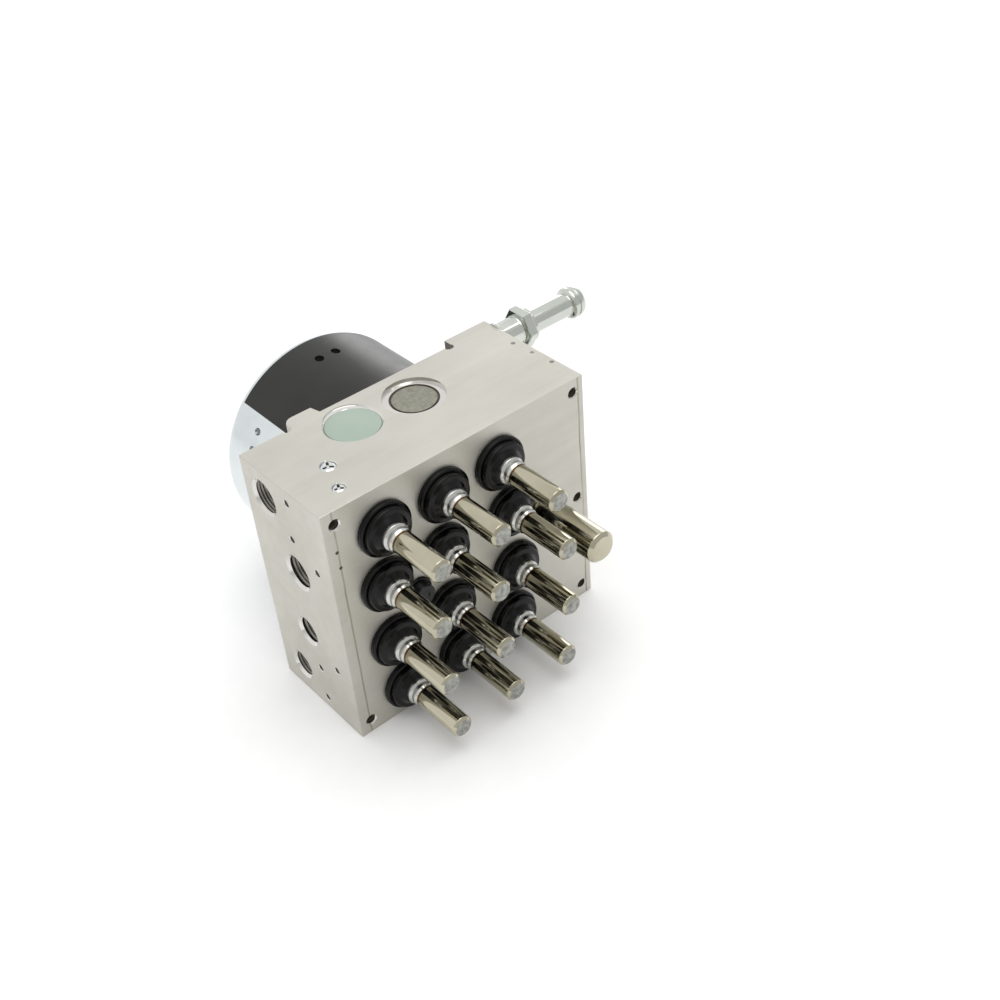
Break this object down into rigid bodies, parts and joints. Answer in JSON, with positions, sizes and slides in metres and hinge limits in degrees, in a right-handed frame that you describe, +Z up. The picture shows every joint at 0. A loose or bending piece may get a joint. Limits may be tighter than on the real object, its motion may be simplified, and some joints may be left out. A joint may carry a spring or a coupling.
{
  "type": "abs brake module",
  "caption": "Hydraulic unit of an anti-lock brake system: valve block with solenoid valves, pump with its motor, line ports and hose nipple, without electronic unit.",
  "frame": {"origin": "on the block's underside, midway between the two bracket screw holes", "axes": "+Z up, +Y from the valves towards the pump motor, +X along the block towards the hose nipple"},
  "size_m": [0.1374, 0.1279, 0.0921],
  "materials": {
    "machined_aluminium": "fine milled, matt",
    "nickel_steel": "nickel plated, satin",
    "green_plug": "matt green passivation",
    "steel_plug": "dull grey",
    "zinc_plated_steel": "bright zinc plated",
    "magnet_ferrite": "sintered ferrite, dull",
    "black_plastic": "moulded, fine",
    "brush_carbon": "pressed carbon, dull",
    "copper": "bright copper",
    "core_steel": "stacked sheets",
    "bright_steel": "ground"
  },
  "bodies": {
    "unit": {"accumulator_cap_left": "steel_plug", "accumulator_cap_right": "steel_plug", "accumulator_spring_left": "bright_steel", "accumulator_spring_right": "bright_steel", "brush_holder": "black_plastic", "damper_plug": "green_plug", "front_bearing": "bright_steel", "motor_brushes": "brush_carbon", "motor_can": "zinc_plated_steel", "motor_magnets": "magnet_ferrite", "pressure_sensor": "nickel_steel", "pump_plug_bottom": "steel_plug", "pump_plug_top": "steel_plug", "pump_spring_bottom": "bright_steel", "pump_spring_top": "bright_steel", "solenoid_valves": "nickel_steel", "union_nipple": "zinc_plated_steel", "valve_block": "machined_aluminium"},
    "rotor": {"rotor_shaft": "bright_steel", "armature_core": "core_steel", "armature_windings": "copper", "commutator": "copper"},
    "eccentric_ring": {"eccentric_ring": "bright_steel"},
    "pump_piston_top": {"pump_piston_top": "bright_steel"},
    "pump_piston_bottom": {"pump_piston_bottom": "bright_steel"},
    "accumulator_piston_left": {"accumulator_piston_left": "bright_steel"},
    "accumulator_piston_right": {"accumulator_piston_right": "bright_steel"},
    "valve_plunger_1": {"valve_plunger_1": "bright_steel"},
    "valve_plunger_2": {"valve_plunger_2": "bright_steel"},
    "valve_plunger_3": {"valve_plunger_3": "bright_steel"},
    "valve_plunger_4": {"valve_plunger_4": "bright_steel"},
    "valve_plunger_5": {"valve_plunger_5": "bright_steel"},
    "valve_plunger_6": {"valve_plunger_6": "bright_steel"},
    "valve_plunger_7": {"valve_plunger_7": "bright_steel"},
    "valve_plunger_8": {"valve_plunger_8": "bright_steel"},
    "valve_plunger_9": {"valve_plunger_9": "bright_steel"},
    "valve_plunger_10": {"valve_plunger_10": "bright_steel"},
    "valve_plunger_11": {"valve_plunger_11": "bright_steel"},
    "valve_plunger_12": {"valve_plunger_12": "bright_steel"}
  },
  "joints": [
    {"name": "rotor_spin", "type": "hinge", "parent": "unit", "child": "rotor", "pos_m": [0.006, 0.048, 0.045], "axis": [0, 1, 0], "continuous": true},
    {"name": "eccentric_ring_spin", "type": "hinge", "parent": "rotor", "child": "eccentric_ring", "pos_m": [0.0067, 0.0175, 0.045], "axis": [0, 1, 0], "continuous": true},
    {"name": "pump_piston_top_slide", "type": "slide", "parent": "unit", "child": "pump_piston_top", "axis": [0, 0, 1], "range_m": [0, 0.0014], "stiffness_N_per_m": 3000, "springref_m": -0.001, "deforming": ["pump_spring_top"]},
    {"name": "pump_piston_bottom_slide", "type": "slide", "parent": "unit", "child": "pump_piston_bottom", "axis": [0, 0, -1], "range_m": [0, 0.0014], "stiffness_N_per_m": 3000, "springref_m": -0.001, "deforming": ["pump_spring_bottom"]},
    {"name": "accumulator_piston_left_slide", "type": "slide", "parent": "unit", "child": "accumulator_piston_left", "axis": [0, 0, -1], "range_m": [0, 0.008], "stiffness_N_per_m": 2000, "springref_m": -0.002, "deforming": ["accumulator_spring_left"]},
    {"name": "accumulator_piston_right_slide", "type": "slide", "parent": "unit", "child": "accumulator_piston_right", "axis": [0, 0, -1], "range_m": [0, 0.008], "stiffness_N_per_m": 2000, "springref_m": -0.002, "deforming": ["accumulator_spring_right"]},
    {"name": "valve_plunger_1_slide", "type": "slide", "parent": "unit", "child": "valve_plunger_1", "axis": [0, -1, 0], "range_m": [0, 0.0004], "stiffness_N_per_m": 1500, "springref_m": -0.0005},
    {"name": "valve_plunger_2_slide", "type": "slide", "parent": "unit", "child": "valve_plunger_2", "axis": [0, -1, 0], "range_m": [0, 0.0004], "stiffness_N_per_m": 1500, "springref_m": -0.0005},
    {"name": "valve_plunger_3_slide", "type": "slide", "parent": "unit", "child": "valve_plunger_3", "axis": [0, -1, 0], "range_m": [0, 0.0004], "stiffness_N_per_m": 1500, "springref_m": -0.0005},
    {"name": "valve_plunger_4_slide", "type": "slide", "parent": "unit", "child": "valve_plunger_4", "axis": [0, -1, 0], "range_m": [0, 0.0004], "stiffness_N_per_m": 1500, "springref_m": -0.0005},
    {"name": "valve_plunger_5_slide", "type": "slide", "parent": "unit", "child": "valve_plunger_5", "axis": [0, -1, 0], "range_m": [0, 0.0004], "stiffness_N_per_m": 1500, "springref_m": -0.0005},
    {"name": "valve_plunger_6_slide", "type": "slide", "parent": "unit", "child": "valve_plunger_6", "axis": [0, -1, 0], "range_m": [0, 0.0004], "stiffness_N_per_m": 1500, "springref_m": -0.0005},
    {"name": "valve_plunger_7_slide", "type": "slide", "parent": "unit", "child": "valve_plunger_7", "axis": [0, -1, 0], "range_m": [0, 0.0004], "stiffness_N_per_m": 1500, "springref_m": -0.0005},
    {"name": "valve_plunger_8_slide", "type": "slide", "parent": "unit", "child": "valve_plunger_8", "axis": [0, -1, 0], "range_m": [0, 0.0004], "stiffness_N_per_m": 1500, "springref_m": -0.0005},
    {"name": "valve_plunger_9_slide", "type": "slide", "parent": "unit", "child": "valve_plunger_9", "axis": [0, -1, 0], "range_m": [0, 0.0004], "stiffness_N_per_m": 1500, "springref_m": -0.0005},
    {"name": "valve_plunger_10_slide", "type": "slide", "parent": "unit", "child": "valve_plunger_10", "axis": [0, -1, 0], "range_m": [0, 0.0004], "stiffness_N_per_m": 1500, "springref_m": -0.0005},
    {"name": "valve_plunger_11_slide", "type": "slide", "parent": "unit", "child": "valve_plunger_11", "axis": [0, -1, 0], "range_m": [0, 0.0004], "stiffness_N_per_m": 1500, "springref_m": -0.0005},
    {"name": "valve_plunger_12_slide", "type": "slide", "parent": "unit", "child": "valve_plunger_12", "axis": [0, -1, 0], "range_m": [0, 0.0004], "stiffness_N_per_m": 1500, "springref_m": -0.0005}
  ],
  "couplings": [
    {"joint": "eccentric_ring_spin", "follows": "rotor_spin", "ratio": -1}
  ]
}
